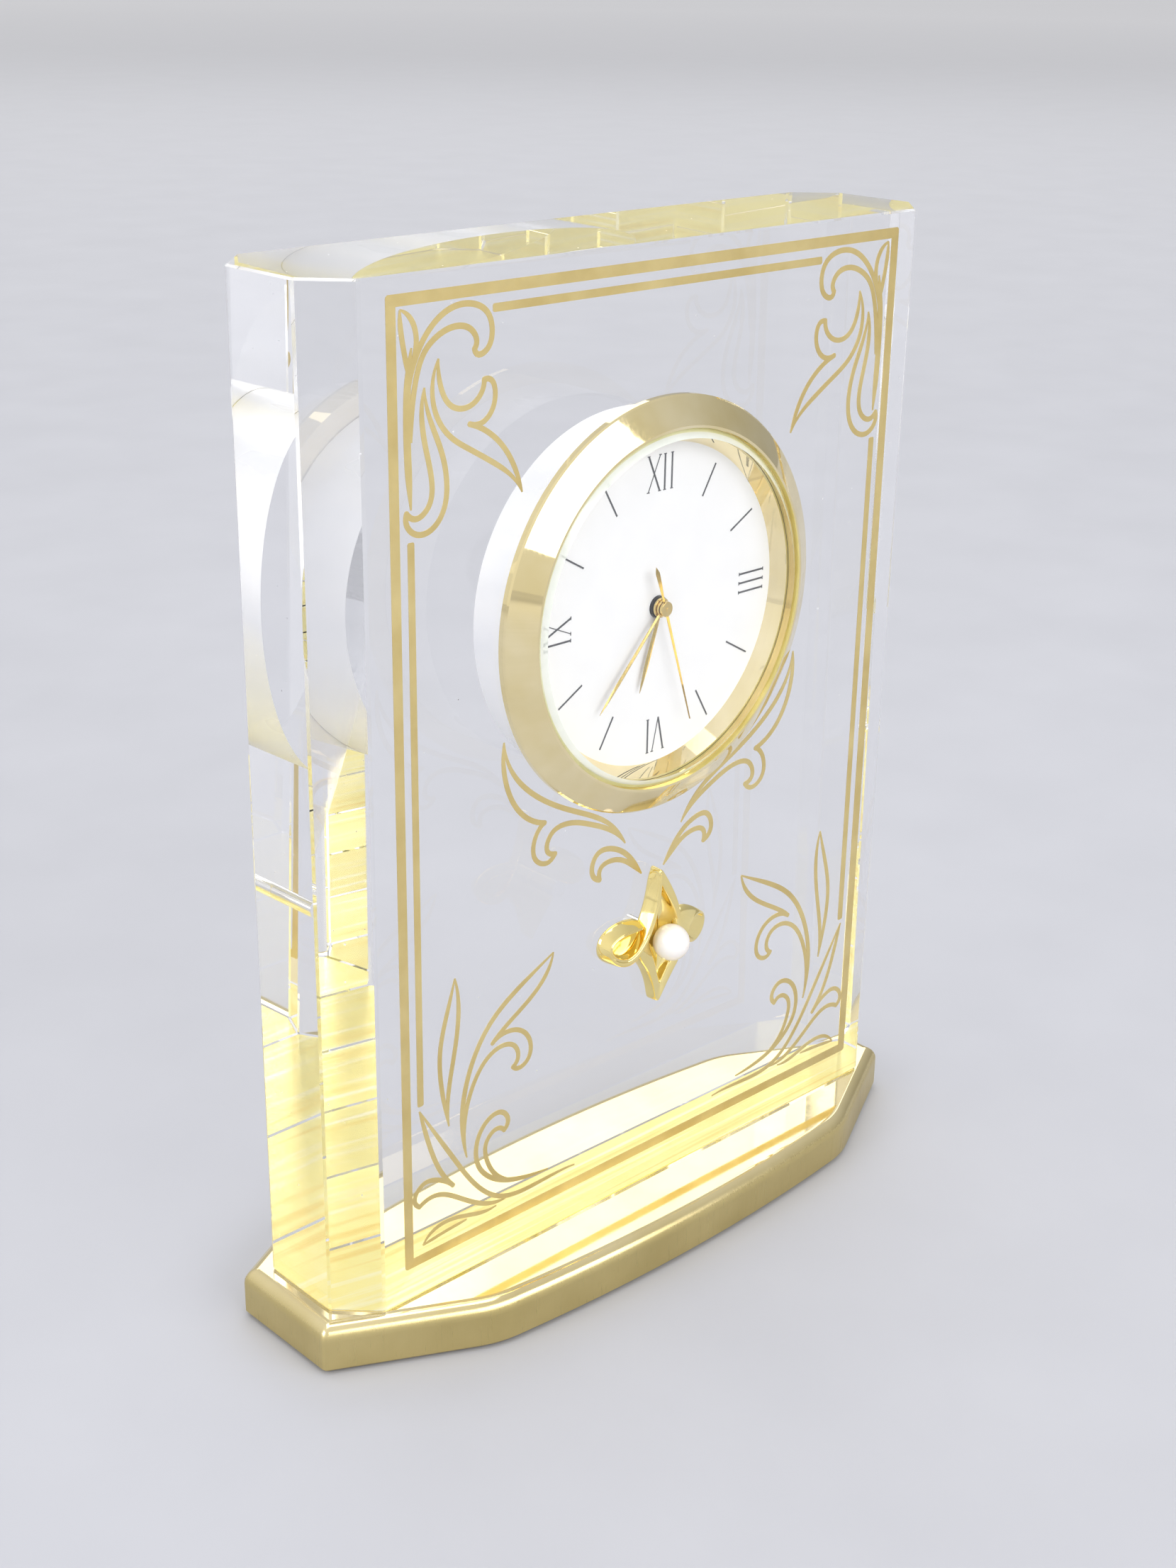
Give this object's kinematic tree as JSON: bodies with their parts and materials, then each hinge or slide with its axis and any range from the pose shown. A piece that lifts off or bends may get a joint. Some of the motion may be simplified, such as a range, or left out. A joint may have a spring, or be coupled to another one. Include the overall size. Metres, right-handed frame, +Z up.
{
  "type": "desk clock",
  "caption": "Clear faceted block on a gilt base with a press-in quartz clock, gilt line borders and scrolls, and a small cast ornament that carries a pearl.",
  "frame": {"origin": "On the table under the middle of the base.", "axes": "+X to the right as seen from the front, +Y to the back, +Z up; the dial faces -Y."},
  "size_m": [0.1006, 0.0394, 0.1265],
  "materials": {
    "clear_crystal": "clear, polished on every face",
    "gilt_satin": "gold plated, polished top and finely brushed sides",
    "felt": "dark felt",
    "bond": "thin adhesive sheet over the polished gilt",
    "gilt_line": "matt gilt lines",
    "gilt_polished": "polished gold plate",
    "silver_post": "bright metal",
    "pearl": "pearly white with a soft sheen",
    "gilt_mirror": "mirror polished gold plate",
    "lens_glass": "mineral glass with a polished bevel",
    "dial_white": "smooth white print over a metal blank",
    "marker_grey": "dark grey print",
    "silver_case": "bright silver, lightly brushed",
    "clear_rubber": "pale translucent rubber",
    "black_plastic": "black moulding",
    "white_plastic": "white moulding",
    "brass_plain": "turned brass",
    "steel_plain": "bright steel",
    "gilt_hand": "gilt, satin",
    "board_green": "green lacquered laminate",
    "copper_wire": "enamelled copper wire"
  },
  "bodies": {
    "block_and_base": {"crystal_block": "clear_crystal", "base_plate": "gilt_satin", "base_pad": "felt", "bond_sheet": "bond", "frame_outer_line": "gilt_line", "frame_inner_lines": "gilt_line", "scroll_lines": "gilt_line", "ornament_casting": "gilt_polished", "ornament_post": "silver_post", "pearl": "pearl", "pearl_peg": "silver_post"},
    "clock_insert": {"bezel_ring": "gilt_mirror", "lens": "lens_glass", "reflector_ring": "gilt_mirror", "dial_plate": "dial_white", "dial_markers": "marker_grey", "housing_cup": "silver_case", "grip_band": "clear_rubber", "battery_cover": "silver_case", "front_plate": "white_plastic", "back_plate": "white_plastic", "plate_pillars": "brass_plain", "plate_screws": "steel_plain", "centre_nut": "black_plastic", "battery": "steel_plain", "battery_contacts": "brass_plain", "circuit_board": "board_green", "clock_chip": "black_plastic", "quartz_can": "silver_post", "stator": "steel_plain", "coil": "copper_wire"},
    "seconds_train": {"seconds_wheel": "brass_plain", "second_hand": "gilt_hand"},
    "step_train": {"step_wheel": "white_plastic"},
    "motor_rotor": {"rotor": "steel_plain"},
    "third_train": {"third_wheel": "brass_plain"},
    "minutes_train": {"centre_wheel": "brass_plain", "cannon_pinion": "steel_plain", "minute_hand": "gilt_hand"},
    "motion_train": {"minute_wheel": "white_plastic"},
    "hours_train": {"hour_wheel": "brass_plain", "hour_hand": "gilt_hand"},
    "setting_train": {"setting_wheel": "steel_plain", "setting_knob": "black_plastic"}
  },
  "joints": [
    {"name": "insert_pull", "type": "slide", "parent": "block_and_base", "child": "clock_insert", "axis": [0, -1, 0], "range_m": [0, 0.014]},
    {"name": "seconds_turn", "type": "hinge", "parent": "clock_insert", "child": "seconds_train", "pos_m": [0, -0.00525, 0.0845], "axis": [0, 1, 0], "continuous": true},
    {"name": "step_turn", "type": "hinge", "parent": "clock_insert", "child": "step_train", "pos_m": [0.00846, -0.00525, 0.08142], "axis": [0, 1, 0], "continuous": true},
    {"name": "rotor_turn", "type": "hinge", "parent": "clock_insert", "child": "motor_rotor", "pos_m": [0.01304, -0.00525, 0.07821], "axis": [0, 1, 0], "continuous": true},
    {"name": "third_turn", "type": "hinge", "parent": "clock_insert", "child": "third_train", "pos_m": [-0.00156, -0.00525, 0.09336], "axis": [0, 1, 0], "continuous": true},
    {"name": "minutes_turn", "type": "hinge", "parent": "clock_insert", "child": "minutes_train", "pos_m": [0, -0.00525, 0.0845], "axis": [0, 1, 0], "continuous": true},
    {"name": "motion_turn", "type": "hinge", "parent": "clock_insert", "child": "motion_train", "pos_m": [-0.0048, -0.00525, 0.0845], "axis": [0, 1, 0], "continuous": true},
    {"name": "hours_turn", "type": "hinge", "parent": "clock_insert", "child": "hours_train", "pos_m": [0, -0.00525, 0.0845], "axis": [0, 1, 0], "continuous": true},
    {"name": "setting_turn", "type": "hinge", "parent": "clock_insert", "child": "setting_train", "pos_m": [-0.01052, -0.00525, 0.0878], "axis": [0, 1, 0], "continuous": true}
  ],
  "couplings": [
    {"joint": "step_turn", "follows": "seconds_turn", "ratio": -5},
    {"joint": "rotor_turn", "follows": "seconds_turn", "ratio": 30},
    {"joint": "third_turn", "follows": "seconds_turn", "ratio": -0.13333},
    {"joint": "minutes_turn", "follows": "seconds_turn", "ratio": 0.016667},
    {"joint": "motion_turn", "follows": "seconds_turn", "ratio": -0.0055556},
    {"joint": "hours_turn", "follows": "seconds_turn", "ratio": 0.0013889},
    {"joint": "setting_turn", "follows": "seconds_turn", "ratio": 0.0066667}
  ]
}
